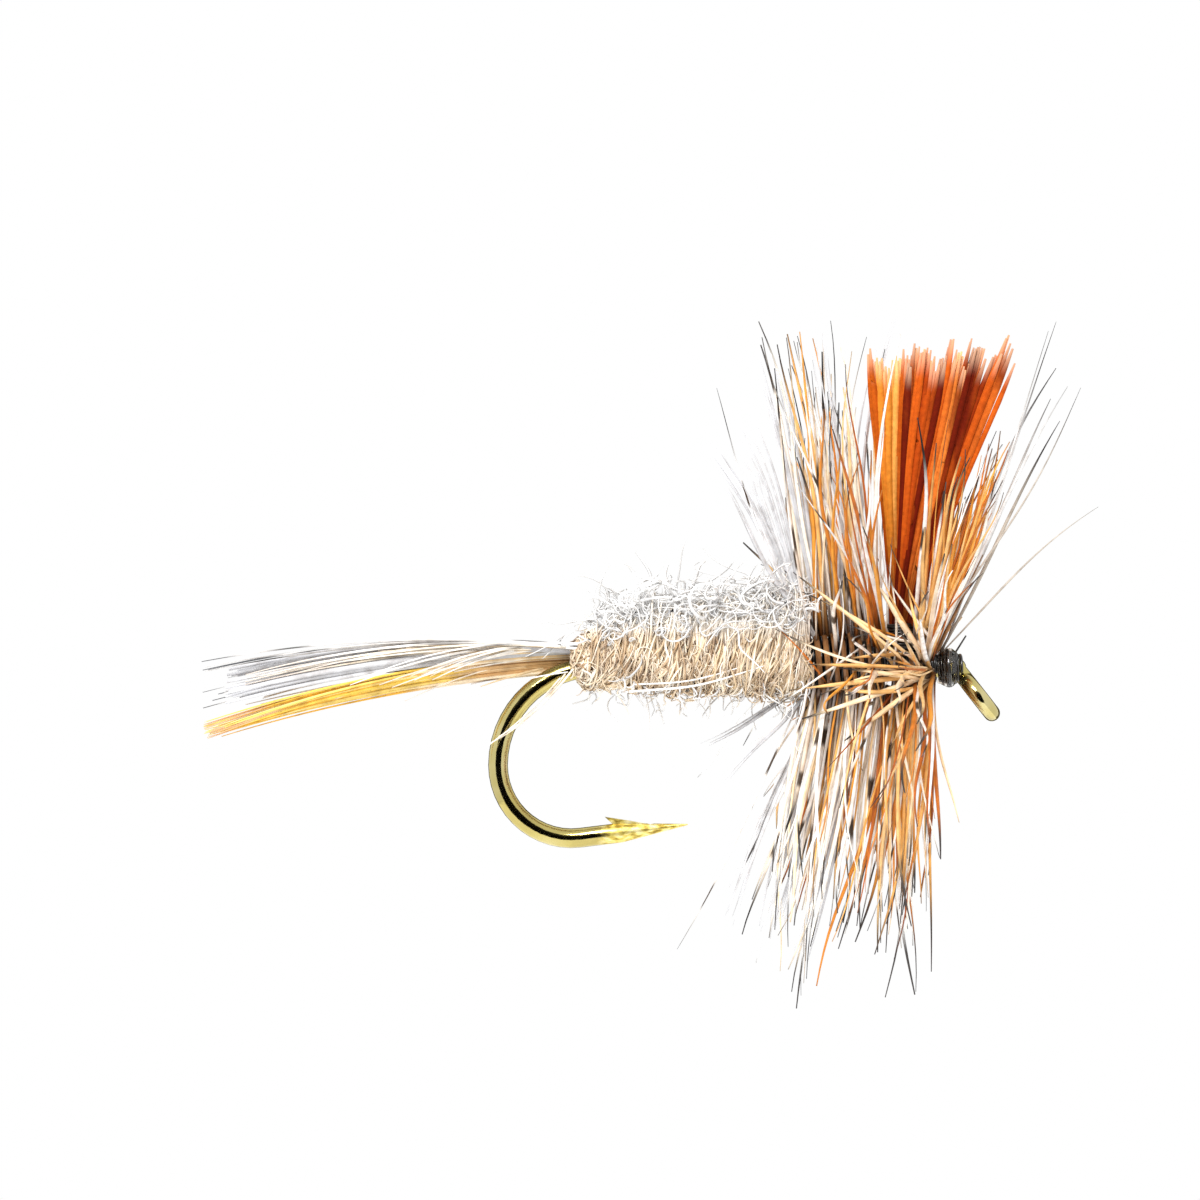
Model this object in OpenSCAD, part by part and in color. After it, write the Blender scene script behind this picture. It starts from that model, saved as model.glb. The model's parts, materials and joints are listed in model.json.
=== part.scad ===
// Dry fly with an upright divided wing and two hackle feathers, tied on a barbed down-eye hook.
// Units are millimetres. The origin is the centre of the hole in the hook's eye.
// The shank runs along X with the eye in front, at +X. Z is up, and the hook's point is below.

/* [Hook] */
// Length of the hook, from the back of the bend to the front of the eye
hook_length = 13; // [12.8:0.1:13.6]
// Diameter of the wire
wire_d = 0.5; // [0.46:0.01:0.5]
// Depth of the bend, between the axes of the shank and of the lowest wire
bend_depth = 4.33; // [4.1:0.01:4.6]
// Share of that depth that the upper arc of the bend takes
upper_arc_share = 0.57; // [0.5:0.01:0.6]
// Length of the spear, from the end of the bend to the tip of the point
spear_length = 2.75; // [2.7:0.05:3]
// Length of the taper that ends in the point
point_length = 1.7; // [1.5:0.1:1.8]
// Angle at which the spear rises towards the point, in degrees
spear_rise = 7; // [4:1:9]
// Angle of the eye below the shank, in degrees
eye_drop = 52; // [48:1:56]
// Radius of the hole in the eye
eye_bore_r = 0.34; // [0.33:0.01:0.36]

/* [Body and tail] */
// Length of the dubbed body
body_length = 5.65; // [5.4:0.05:5.9]
// Radius of the dubbed body behind the hackle
body_front_r = 1.4; // [1.3:0.05:1.6]
// Radius of the dubbed body at the tail
body_rear_r = 0.78; // [0.78:0.01:0.9]
// Number of turns of dubbing
dubbing_turns = 9; // [7:1:11]
// Length of the tail behind the body
tail_length = 9.5; // [8.5:0.1:10.5]

/* [Wing] */
// Height of the wing above the axis of the shank
wing_height = 8.1; // [7.4:0.1:8.6]
// Width of each wing slip at its top
wing_top_w = 2.1; // [1.6:0.1:2.4]
// Angle between the two wing slips, in degrees
wing_split = 14; // [8:1:20]

/* [Hackle] */
// Length of the hackle barbs
barb_length = 8; // [7:0.1:8.5]
// Radius of a hackle barb where it leaves the quill
barb_r = 0.05; // [0.04:0.01:0.06]
// Turns of each hackle feather
hackle_turns = 6; // [5:1:6]

/* [Thread] */
// Diameter of the tying thread as it lies in the wraps
thread_d = 0.07; // [0.06:0.01:0.07]
// Largest radius of the thread head
head_r = 0.5; // [0.46:0.01:0.52]

/* [Hidden] */
$fn = 32;

// Hook: the wire, its bend and its eye
wire_r = wire_d / 2;
eye_wire_r = 0.84 * wire_r;
eye_land = 0.03; // how deep the hole cuts into the ring's wire
eye_ring_r = eye_bore_r + eye_wire_r - eye_land;
eye_front_x = eye_ring_r * cos(eye_drop) + eye_wire_r;
eye_top = [-eye_ring_r * cos(eye_drop), 0, eye_ring_r * sin(eye_drop)];
neck_rise = 0.33;
shank_z = eye_top[2] + neck_rise;
elbow_x = eye_top[0] - neck_rise / tan(eye_drop);
upper_r = upper_arc_share * bend_depth;
lower_r = bend_depth - upper_r;
bend_x = eye_front_x - hook_length + wire_r + upper_r;
bend_z = shank_z - upper_r;
point_tip_r = 0.015;
barb_w = 0.2;

// Stations along the shank, from the front to the back
head_length = 0.6;
front_hackle_length = 0.95; // from the head to the middle of the wing
hackle_length = 3.25;
wing_gap = 0.42; // half of the clear stretch of shank that the wing stands on
head_front_x = elbow_x + 0.12;
head_back_x = head_front_x - head_length;
wing_x = head_back_x - front_hackle_length;
hackle_back_x = head_back_x - hackle_length;
body_front_x = hackle_back_x - 0.05;
body_back_x = body_front_x - body_length;
tail_tie_x = body_back_x - 0.1;

// Layers of thread: each sleeve's radius, and the height of its axis above the shank's
base_r = wire_r + 0.05;
tail_fibre_r = 0.04;
lashing_rise = 0.075;
lashing_bore_r = base_r + lashing_rise;
lashing_r = lashing_bore_r + thread_d;
body_rise = 0.3;
body_bore_r = lashing_r + 0.005;
thorax_rise = 0.13;
thorax_bore_r = base_r + 0.18;
thorax_r = thorax_bore_r + 2 * thread_d;
front_r = base_r + thread_d;

// Hackle quills: they wind behind the wing, cross below it and wind again in front
quill_r = 0.08;
rear_wind_r = thorax_r + quill_r + 0.01;
front_wind_r = front_r + quill_r + 0.01;
rear_turns = hackle_turns * 2 / 3;
quill_steps = 20;

// Wing: both slips stand on roots that are bound to the shank
wing_root_r = 0.12;
wing_butt_r = 0.13;
wing_t = 0.1;
wing_root_z = shank_z + base_r + wing_butt_r;
wing_butt_length = 1.6;

function unit(v) = v / norm(v);
function mix(a, b, t) = a + (b - a) * t;
function clamp01(t) = min(1, max(0, t));
function smooth(t) = let (c = clamp01(t)) c * c * (3 - 2 * c);
function bezier(a, b, c, t) = mix(mix(a, b, t), mix(b, c, t), t);

// Points its children, which stand along +Z, from p in the direction d
module along(p, d) {
    translate(p)
        rotate([0, acos(unit(d)[2]), atan2(d[1], d[0])])
            children();
}

// Sweeps a regular polygon along a path, with one radius for each of its points.
// side is a direction that the path never takes.
module sweep(path, radii, sides, side) {
    last = len(path) - 1;
    tangents = [for (i = [0:last]) unit(path[min(i + 1, last)] - path[max(i - 1, 0)])];
    points = [
        for (i = [0:last])
            let (u = unit(cross(tangents[i], side)), v = cross(tangents[i], u))
                for (k = [0:sides - 1])
                    path[i] + radii[i] * (u * cos(360 * k / sides) + v * sin(360 * k / sides))
    ];
    walls = [
        for (i = [0:last - 1], k = [0:sides - 1])
            let (a = i * sides + k, b = i * sides + (k + 1) % sides)
                for (face = [[a, a + sides, b], [b, a + sides, b + sides]]) face
    ];
    ends = [
        for (k = [1:sides - 2])
            for (face = [[0, k, k + 1], [last * sides, last * sides + k + 1, last * sides + k]]) face
    ];
    polyhedron(points = points, faces = concat(walls, ends), convexity = 10);
}

// Sleeve of touching thread turns along X, between x0 and x1, with its axis at height z
module thread_sleeve(x0, x1, z, bore_r, radius_at, pitch = thread_d) {
    turns = round((x1 - x0) / pitch);
    step = (x1 - x0) / turns;
    crests = [
        for (i = [0:turns - 1])
            for (at = [[0.1, -0.012], [0.3, 0], [0.7, 0], [0.9, -0.012]])
                [radius_at((i + at[0]) / turns) + at[1], x0 + (i + at[0]) * step]
    ];
    translate([0, 0, z])
        rotate([0, 90, 0])
            rotate_extrude()
                polygon(concat([[bore_r, x1], [bore_r, x0]], crests));
}

// Straight tapered fibre from p in the direction d
module spike(p, d, length, r1, r2) {
    along(p, d) cylinder(h = length, r1 = r1, r2 = r2);
}

module hook() {
    color("goldenrod")
        difference() {
            union() {
                shank();
                bend();
                translate([bend_x - upper_r + lower_r, 0, bend_z])
                    rotate([0, -spear_rise, 0])
                        translate([0, 0, -lower_r])
                            spear();
                eye_ring();
            }
            rotate([0, eye_drop, 0]) cylinder(h = 1, r = eye_bore_r, center = true);
        }
}

module shank() {
    translate([bend_x, 0, shank_z])
        rotate([0, 90, 0])
            cylinder(h = elbow_x - bend_x, r = wire_r);
    translate([elbow_x, 0, shank_z]) sphere(r = wire_r);
    along([elbow_x, 0, shank_z], [cos(eye_drop), 0, -sin(eye_drop)])
        cylinder(h = neck_rise / sin(eye_drop), r = eye_wire_r);
}

// Two arcs of wire in the XZ plane: the upper one turns down, the lower one turns forward
module bend() {
    translate([bend_x, 0, bend_z])
        rotate([90, 0, 0])
            rotate([0, 0, 90])
                rotate_extrude(angle = 90)
                    translate([upper_r, 0]) circle(r = wire_r);
    translate([bend_x - upper_r + lower_r, 0, bend_z])
        rotate([90, 0, 0])
            rotate([0, 0, 180])
                rotate_extrude(angle = 90 + spear_rise)
                    translate([lower_r, 0]) circle(r = wire_r);
}

// Straight wire, the long taper to the point, and the barb that is cut from its upper side
module spear() {
    straight = spear_length - point_length;
    rotate([0, 90, 0]) cylinder(h = straight, r = wire_r);
    translate([straight, 0, 0])
        rotate([0, 90, 0])
            cylinder(h = point_length, r1 = wire_r, r2 = point_tip_r);
    translate([0, barb_w / 2, 0])
        rotate([90, 0, 0])
            linear_extrude(height = barb_w)
                polygon([
                    [straight - 0.37, wire_r + 0.2],
                    [straight + 0.24, wire_r + 0.03],
                    [straight + 0.75, wire_r - 0.13],
                    [straight + 0.3, 0],
                    [straight - 0.1, 0.05],
                    [straight - 0.15, wire_r - 0.06]
                ]);
}

module eye_ring() {
    rotate([0, eye_drop, 0])
        rotate_extrude()
            translate([eye_ring_r, 0]) circle(r = eye_wire_r);
}

module thread_base() {
    color("black")
        thread_sleeve(tail_tie_x + 0.1, wing_x + wing_gap, shank_z, wire_r,
            function (t) base_r, pitch = 2 * thread_d);
}

// One curved tail fibre: its butt lies along the shank at the angle seat, and its tip is free
module tail_fibre(seat, tip, lift) {
    seat_r = base_r + tail_fibre_r;
    seat_y = seat_r * cos(seat);
    seat_z = shank_z + seat_r * sin(seat);
    butt = [tail_tie_x + 1.5, seat_y, seat_z];
    root = [tail_tie_x, seat_y, seat_z];
    crown = [mix(root[0], tip[0], 0.5), mix(seat_y, tip[1], 0.4), lift];
    steps = 9;
    free = [for (i = [1:steps]) bezier(root, crown, tip, i / steps)];
    radii = [for (i = [1:steps]) tail_fibre_r * (1 - 0.75 * pow(i / steps, 2))];
    sweep(concat([butt, root], free), concat([tail_fibre_r, tail_fibre_r], radii), 5, [0, 0, 1]);
}

// Fan of tail fibres between two seat angles, with tips between two heights
module tail_fan(count, seats, tip_z, tip_y, lift, seed) {
    jitter = rands(-1, 1, count, seed);
    for (i = [0:count - 1]) {
        t = i / (count - 1);
        tail_fibre(
            mix(seats[0], seats[1], t),
            [tail_tie_x - tail_length + 0.25 * jitter[i], mix(tip_y[0], tip_y[1], t),
                mix(tip_z[0], tip_z[1], t) + 0.1 * jitter[i]],
            lift + 0.12 * jitter[i]);
    }
}

module tail_ginger_fibres() {
    color("orange") tail_fan(7, [14, 44], [-0.85, -0.45], [0.9, 0.1], 0.75, 11);
}

module tail_grizzly_fibres() {
    color("dimgray") tail_fan(8, [58, 122], [0.95, 0.15], [0.8, -0.8], 1.5, 12);
}

module tail_cream_fibres() {
    color("wheat") tail_fan(6, [136, 166], [0.5, -0.1], [-0.3, -1], 1.25, 13);
}

module tail_lashing() {
    color("black")
        thread_sleeve(tail_tie_x + 0.1, tail_tie_x + 1, shank_z + lashing_rise, lashing_bore_r,
            function (t) lashing_r);
}

// Radius of the dubbed body at a share t of its length from the tail, with a bulge for each turn
function body_r(t) =
    mix(body_rear_r, body_front_r, t)
    - 0.07 * pow(cos(180 * dubbing_turns * t), 2)
    - 0.22 * smooth((t - 0.93) / 0.07);

module dubbed_body() {
    steps = 6 * dubbing_turns;
    outline = [
        for (i = [0:steps]) [body_r(i / steps), mix(body_back_x, body_front_x, i / steps)]
    ];
    color("burlywood")
        difference() {
            translate([0, 0, shank_z + body_rise])
                rotate([0, 90, 0])
                    rotate_extrude()
                        polygon(concat([[0, body_front_x], [0, body_back_x]], outline));
            translate([body_back_x - 1, 0, shank_z + lashing_rise])
                rotate([0, 90, 0])
                    cylinder(h = body_length + 2, r = body_bore_r);
        }
}

// Long fur fibres that stand out of the dubbing
module guard_hairs() {
    count = 26;
    turn = rands(-75, 75, count, 21);
    lean = rands(-0.9, 0.3, count, 22);
    length = rands(1, 2.2, count, 23);
    color("gainsboro")
        for (i = [0:count - 1]) {
            t = (i + 0.5) / count;
            out = [0, sin(turn[i]), cos(turn[i])];
            foot = [mix(body_back_x, body_front_x, t), 0, shank_z + body_rise]
                + (body_r(t) + 0.01) * out;
            spike(foot, out + [lean[i], 0, 0], length[i], 0.025, 0.01);
        }
}

// Outline of a wing slip: narrow at the root, fanned out above, with a ragged edge of barb tips.
// lean moves the top forwards, and rag is the depth of the gaps between the tips.
module slip_outline(lean, rag) {
    teeth = 7;
    top = wing_height - (wing_root_z - shank_z);
    back = lean - wing_top_w / 2;
    polygon(concat(
        [[-wing_root_r, 0.3], [wing_root_r, 0.3], [0.4 * lean + 0.62, 0.35 * top],
            [0.8 * lean + 0.47 * wing_top_w, 0.8 * top]],
        [for (i = [0:2 * teeth])
            [back + wing_top_w * (1 - i / (2 * teeth)), top - (i % 2) * rag - 0.04 * i * (1 - lean / 2)]],
        [[0.8 * lean - 0.47 * wing_top_w, 0.75 * top], [0.4 * lean - 0.5, 0.35 * top]]
    ));
}

// One slip with its root and its butt, which lies along the shank behind the wing.
// side is -1 for the near slip and 1 for the far one.
module wing_slip(side, lean, rag) {
    seat_y = side * (wing_butt_r + 0.01);
    translate([wing_x, seat_y, wing_root_z]) {
        rotate([-side * wing_split / 2, 0, 0]) {
            cylinder(h = 0.5, r = wing_root_r);
            rotate([90, 0, 0])
                linear_extrude(height = wing_t, center = true)
                    slip_outline(lean, rag);
        }
        sphere(r = wing_butt_r);
        rotate([0, -90, 0]) cylinder(h = wing_butt_length, r = wing_butt_r);
    }
}

module wing_near() {
    color("chocolate") wing_slip(-1, 1.6, 0.5);
}

module wing_far() {
    color("sandybrown") wing_slip(1, 0.55, 0.35);
}

// Turns of thread round both wing roots, wider where the roots stand further apart
module wing_base_wraps() {
    turn_r = thread_d / 2;
    turns = 4;
    color("black")
        for (i = [1:turns]) {
            rise = wing_butt_r + (2 * i - 1) * (turn_r + 0.002);
            spread = rise * sin(wing_split / 2) + wing_butt_r + wing_root_r;
            translate([wing_x, 0, wing_root_z + rise])
                rotate_extrude() translate([spread + turn_r + 0.03, 0]) circle(r = turn_r);
        }
}

module thorax_wraps() {
    color("black")
        thread_sleeve(hackle_back_x, wing_x - wing_gap, shank_z + thorax_rise, thorax_bore_r,
            function (t) thorax_r);
}

// Thread under the hackle in front of the wing
module front_wraps() {
    color("black")
        thread_sleeve(wing_x + wing_gap, head_back_x, shank_z, wire_r, function (t) front_r);
}

// Trimmed ends of the two quills, bound beside the shank under the thorax wraps
module hackle_butts() {
    butt_r = 0.045;
    color("tan")
        for (side = [-1, 1])
            translate([hackle_back_x, side * (base_r + butt_r + 0.01), shank_z])
                rotate([0, 90, 0])
                    cylinder(h = wing_x - wing_gap - hackle_back_x, r = butt_r);
}

// Point on the axis of a quill at turn t. The two feathers wind half a turn apart.
// front_share grows quickly at first, because a quill crosses under the wing in half a turn.
function crossed(t) = smooth((t - rear_turns) * 2);
function front_share(t) = pow((t - rear_turns) / (hackle_turns - rear_turns), 0.55);
function wind_x(t) = t < rear_turns
    ? mix(hackle_back_x + 0.12, wing_x - wing_gap - 0.02, t / rear_turns)
    : mix(wing_x - wing_gap - 0.02, head_back_x - 0.12, front_share(t));
function wind_angle(t, start) = start + 360 * t;
function wind_r(t) = mix(rear_wind_r, front_wind_r, crossed(t));
function wind_axis_z(t) = shank_z + mix(thorax_rise, 0, crossed(t));
function wind_out(t, start) = [0, cos(wind_angle(t, start)), sin(wind_angle(t, start))];
function wind_point(t, start) = [wind_x(t), 0, wind_axis_z(t)] + wind_r(t) * wind_out(t, start);

module quill(start) {
    steps = hackle_turns * quill_steps;
    path = [for (i = [0:steps]) wind_point(i / quill_steps, start)];
    radii = [for (i = [0:steps]) quill_r * (1 - 0.45 * i / steps)];
    sweep(path, radii, 6, [1, 0, 0]);
}

// Barbs of one feather. They lean back behind the wing and forwards in front of it.
// spacing is the part of a turn between two barbs.
module hackle_barbs(start, spacing, seed) {
    count = floor(hackle_turns / spacing);
    scatter = rands(-1, 1, count, seed);
    reach = rands(0.9, 1, count, seed + 1);
    for (i = [0:count - 1]) {
        t = (i + 0.5) * spacing;
        out = wind_out(t, start);
        high = 0.5 + 0.5 * out[2];
        lean = mix(-0.2, mix(-0.02, 0.34, high), t / hackle_turns) + 0.13 * scatter[i];
        spike(wind_point(t, start) + quill_r * out, out + [lean, 0, 0],
            barb_length * reach[i] * mix(0.96, 1.05, high), barb_r, 0.015);
    }
}

// Angles at which the quills start, so that both cross below the shank
ginger_start = -100;
grizzly_start = 80;

module ginger_hackle_stem() {
    color("peru") quill(ginger_start);
}

module ginger_hackle_barbs() {
    color("darkorange") hackle_barbs(ginger_start, 0.0737, 31);
}

module grizzly_hackle_stem() {
    color("gray") quill(grizzly_start);
}

module grizzly_hackle_barbs() {
    color("lightgray") hackle_barbs(grizzly_start, 0.0834, 41);
}

// Pale barbs from the head that lie back over the near side of the collar
module collar_strays() {
    count = 9;
    rise = rands(-0.35, 0.3, count, 51);
    length = rands(2.4, 4.2, count, 52);
    color("antiquewhite")
        for (i = [0:count - 1]) {
            angle = mix(-50, 40, i / (count - 1));
            out = [0, -cos(angle), sin(angle)];
            spike([head_back_x - 0.06, 0, shank_z] + (front_wind_r + 0.12) * out,
                0.42 * out + [-1, 0, rise[i]], length[i], 0.04, 0.015);
        }
}

// Tied-off tips of the two feathers, which stand up between the collar and the head
module hackle_tips() {
    color("saddlebrown")
        for (side = [-1, 1])
            spike([head_back_x, 0.1 * side, shank_z + front_r + 0.06],
                [0.42 - 0.05 * side, 0.08 * side, 1], 2.7, 0.05, 0.02);
}

// Radius of the thread head at a share t of its length from the back
function head_profile(t) =
    mix(0.78, 1, sin(180 * smooth(t * 0.9 + 0.05))) * head_r
    - 0.1 * smooth((t - 0.6) / 0.4);

module head_wraps() {
    color("black")
        thread_sleeve(head_back_x, head_front_x, shank_z, wire_r,
            function (t) head_profile(t) - 0.03);
}

// Hard clear varnish over the wraps
module head_cement() {
    coat = 0.03;
    steps = 10;
    outer = [for (i = [0:steps]) [head_profile(i / steps), mix(head_back_x, head_front_x, i / steps)]];
    inner = [for (p = outer) p - [coat, 0]];
    color("dimgray")
        translate([0, 0, shank_z])
            rotate([0, 90, 0])
                rotate_extrude()
                    polygon(concat(outer, [for (i = [steps:-1:0]) inner[i]]));
}

// Cut end of the tying thread
module thread_tag() {
    color("black")
        spike([head_front_x - 0.12, -0.25, shank_z + head_r * 0.86], [0.5, -0.45, 0.8], 0.5, 0.025, 0.02);
}

hook();
thread_base();
tail_ginger_fibres();
tail_grizzly_fibres();
tail_cream_fibres();
tail_lashing();
dubbed_body();
guard_hairs();
wing_near();
wing_far();
wing_base_wraps();
thorax_wraps();
front_wraps();
hackle_butts();
ginger_hackle_stem();
ginger_hackle_barbs();
grizzly_hackle_stem();
grizzly_hackle_barbs();
collar_strays();
hackle_tips();
head_wraps();
head_cement();
thread_tag();
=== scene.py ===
"""Dry fly: its fibres, thread, varnish and metal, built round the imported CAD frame."""
import json
import math

import bpy
import numpy as np
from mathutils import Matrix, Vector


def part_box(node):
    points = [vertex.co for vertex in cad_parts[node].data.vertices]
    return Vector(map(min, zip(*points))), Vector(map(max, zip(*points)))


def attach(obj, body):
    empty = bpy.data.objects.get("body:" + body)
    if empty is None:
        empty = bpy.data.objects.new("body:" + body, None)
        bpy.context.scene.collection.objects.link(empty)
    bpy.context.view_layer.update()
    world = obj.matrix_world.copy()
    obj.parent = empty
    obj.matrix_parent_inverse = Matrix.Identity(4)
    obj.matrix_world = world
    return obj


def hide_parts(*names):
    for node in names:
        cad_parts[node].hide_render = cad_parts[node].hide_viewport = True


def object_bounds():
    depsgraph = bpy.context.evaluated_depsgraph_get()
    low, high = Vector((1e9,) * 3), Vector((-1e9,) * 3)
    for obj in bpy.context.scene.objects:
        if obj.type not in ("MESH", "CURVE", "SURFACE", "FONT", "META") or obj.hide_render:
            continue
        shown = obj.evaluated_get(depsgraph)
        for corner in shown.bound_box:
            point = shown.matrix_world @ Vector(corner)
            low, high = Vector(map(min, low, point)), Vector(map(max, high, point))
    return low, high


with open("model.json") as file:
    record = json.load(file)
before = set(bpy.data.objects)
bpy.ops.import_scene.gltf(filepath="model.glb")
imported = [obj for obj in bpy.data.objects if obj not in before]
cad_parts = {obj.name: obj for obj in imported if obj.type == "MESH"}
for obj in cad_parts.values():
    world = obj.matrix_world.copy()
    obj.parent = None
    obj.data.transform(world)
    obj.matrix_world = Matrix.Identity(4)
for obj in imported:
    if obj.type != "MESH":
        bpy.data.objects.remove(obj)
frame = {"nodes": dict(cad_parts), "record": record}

MM = 0.001
cad_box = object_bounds()
rng = np.random.default_rng(12)


# ---------------------------------------------------------------- places, in millimetres

def node_box(node):
    """Lowest and highest corner of a CAD node, in millimetres."""
    low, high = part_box(node)
    return np.array(low) / MM, np.array(high) / MM


base_low, base_high = node_box("thread_base")
SHANK_Z = (base_low[2] + base_high[2]) / 2
body_low, body_high = node_box("dubbed_body")
BODY_BACK, BODY_FRONT = body_low[0], body_high[0]
BODY_Z = (body_low[2] + body_high[2]) / 2
BODY_R = (body_high[2] - body_low[2]) / 2
thorax_low, thorax_high = node_box("thorax_wraps")
THORAX_Z = (thorax_low[2] + thorax_high[2]) / 2
THORAX_R = (thorax_high[2] - thorax_low[2]) / 2
front_low, front_high = node_box("front_wraps")
FRONT_R = (front_high[2] - front_low[2]) / 2
head_low, head_high = node_box("head_cement")
HEAD_BACK, HEAD_FRONT = head_low[0], head_high[0]
HEAD_R = (head_high[2] - head_low[2]) / 2
wraps_low, wraps_high = node_box("wing_base_wraps")
WING_X = (wraps_low[0] + wraps_high[0]) / 2
WING_ROOT_Z = wraps_low[2]
WING_TOP = node_box("wing_near")[1][2]
lashing_low, lashing_high = node_box("tail_lashing")
LASHING_Z = (lashing_low[2] + lashing_high[2]) / 2
TAIL_ROOT_X = lashing_low[0] - 0.1
TAIL_TIP_X = node_box("tail_grizzly_fibres")[0][0]
HACKLE_BACK = thorax_low[0] + 0.1
hook_low = node_box("hook")[0]
mounts = {mount["name"]: np.array(mount["pos_m"]) / MM for mount in frame["record"]["mounts"]}
BARB_LENGTH = 8.0
THREAD_R = 0.035
WING_SPLIT = 11  # degrees between the two slips of the wing
FACING = np.array([0.0, 1.0, 0.0])  # a flat barb lies across this direction


# ---------------------------------------------------------------- materials

def linear(hex_colour):
    """Linear RGBA of a display colour written as six hex digits."""
    parts = [int(hex_colour[i:i + 2], 16) / 255 for i in (0, 2, 4)]
    return [c / 12.92 if c <= 0.04045 else ((c + 0.055) / 1.055) ** 2.4 for c in parts] + [1.0]


class Paint:
    """A material with one Principled shader, and short ways to add the nodes that colour it."""

    def __init__(self, name, **sockets):
        self.material = bpy.data.materials.new(name)
        self.material.use_nodes = True
        self.tree = self.material.node_tree
        self.shader = self.tree.nodes["Principled BSDF"]
        for socket, value in sockets.items():
            self.shader.inputs[socket.replace("_", " ")].default_value = value

    def add(self, kind, links=(), **settings):
        """Adds a node; links are (input, socket or value) pairs."""
        node = self.tree.nodes.new("ShaderNode" + kind)
        for key, value in settings.items():
            setattr(node, key, value)
        for target, source in links:
            if isinstance(source, bpy.types.NodeSocket):
                self.tree.links.new(source, node.inputs[target])
            else:
                node.inputs[target].default_value = source
        return node

    def attribute(self, name):
        return self.add("Attribute", attribute_name=name).outputs["Fac"]

    def noise(self, size_mm, detail=3.0, stretch=None):
        """Noise whose blobs are about size_mm across, stretched along the axes by stretch."""
        place = self.add("TexCoord").outputs["Object"]
        if stretch:
            scale = [1 / s for s in stretch]
            place = self.add("Mapping", [("Vector", place), ("Scale", scale)]).outputs["Vector"]
        texture = self.add("TexNoise", [
            ("Vector", place), ("Scale", 1 / (size_mm * MM)), ("Detail", detail)])
        return texture.outputs["Fac"]

    def ramp(self, factor, stops):
        """Colour ramp; stops are (position, hex colour) pairs."""
        node = self.add("ValToRGB", [("Fac", factor)])
        elements = node.color_ramp.elements
        while len(elements) < len(stops):
            elements.new(0.5)
        for element, (position, colour) in zip(elements, stops):
            element.position = position
            element.color = linear(colour)
        return node.outputs["Color"]

    def math(self, operation, a, b=0.0):
        return self.add("Math", [(0, a), (1, b)], operation=operation).outputs[0]

    def spread(self, value, low, high):
        """0 below low, 1 above high, smooth between."""
        node = self.add("MapRange", [("Value", value), ("From Min", low), ("From Max", high)])
        node.interpolation_type = "SMOOTHSTEP"
        return node.outputs["Result"]

    def mix(self, factor, a, b, blend="MIX"):
        node = self.add("Mix", data_type="RGBA", blend_type=blend)
        for target, source in ((0, factor), (6, a), (7, b)):
            if isinstance(source, bpy.types.NodeSocket):
                self.tree.links.new(source, node.inputs[target])
            else:
                node.inputs[target].default_value = source
        return node.outputs[2]

    def colour(self, socket):
        self.tree.links.new(socket, self.shader.inputs["Base Color"])

    def bump(self, height, distance_mm, strength):
        node = self.add("Bump", [
            ("Height", height), ("Distance", distance_mm * MM), ("Strength", strength)])
        self.tree.links.new(node.outputs[0], self.shader.inputs["Normal"])

    def rough(self, socket):
        self.tree.links.new(socket, self.shader.inputs["Roughness"])


def barb_paint(name, palette, tip, tip_from, bars=None, brown_root_and_shade=0.0, roughness=0.5, butt=None):
    """Feather barbs. tone picks each barb's colour from palette, and its tip turns to the colour tip
    from the share tip_from of its length onwards.

    bars is (colour, number along the barb, share of it that they cover), brown_root_and_shade is how
    dark the root is, for the feather's own brown and for painted shade where the barbs crowd at the
    quill, and butt is a second palette for the half of the barb that is nearer its root.
    """
    paint = Paint(name, Roughness=roughness, Specular_IOR_Level=0.3)
    tone = paint.attribute("tone")
    along = paint.attribute("along")
    own = paint.attribute("own")
    colour = paint.ramp(tone, palette)
    if butt:
        change = paint.math("ADD", along, paint.math("MULTIPLY", own, 0.2))
        colour = paint.mix(paint.spread(change, 0.5, 0.62), paint.ramp(own, butt), colour)
    streaks = paint.noise(0.35, detail=4.0)
    shade = paint.ramp(streaks, [(0.3, "a49a92"), (0.6, "ffffff")])
    colour = paint.mix(0.5, colour, shade, "MULTIPLY")
    if bars:
        bar_colour, count, share = bars
        phase = paint.math("ADD", paint.math("MULTIPLY", along, count * 2 * math.pi),
                           paint.math("MULTIPLY", own, 40.0))
        wave = paint.math("SINE", phase)
        shown = paint.spread(wave, 1.0 - 2 * share, 1.25 - 2 * share)
        colour = paint.mix(shown, colour, linear(bar_colour))
    uneven = paint.math("MULTIPLY", paint.math("SUBTRACT", own, 0.5), 0.3)
    near_tip = paint.spread(paint.math("ADD", along, uneven), tip_from, 1.0)
    colour = paint.mix(near_tip, colour, linear(tip))
    # dark root: the feather's own brown, and painted shade where the barbs crowd at the quill
    if brown_root_and_shade:
        root = paint.math("SUBTRACT", 1.0, paint.spread(along, 0.03, 0.22))
        colour = paint.mix(paint.math("MULTIPLY", root, brown_root_and_shade), colour, linear("54290c"))
    paint.colour(colour)
    paint.bump(paint.noise(0.05, detail=2.0), 0.01, 0.4)
    return paint.material


def highlight_from_above(paint):
    """0 in the lower part of the body and 1 along its back, where the fur gets a painted highlight of
    the light from above.
    """
    position = paint.add("TexCoord").outputs["Object"]
    height = paint.add("SeparateXYZ", [(0, position)]).outputs["Z"]
    return paint.spread(height, (BODY_Z + 0.3) * MM, (BODY_Z + 0.95) * MM)


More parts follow.
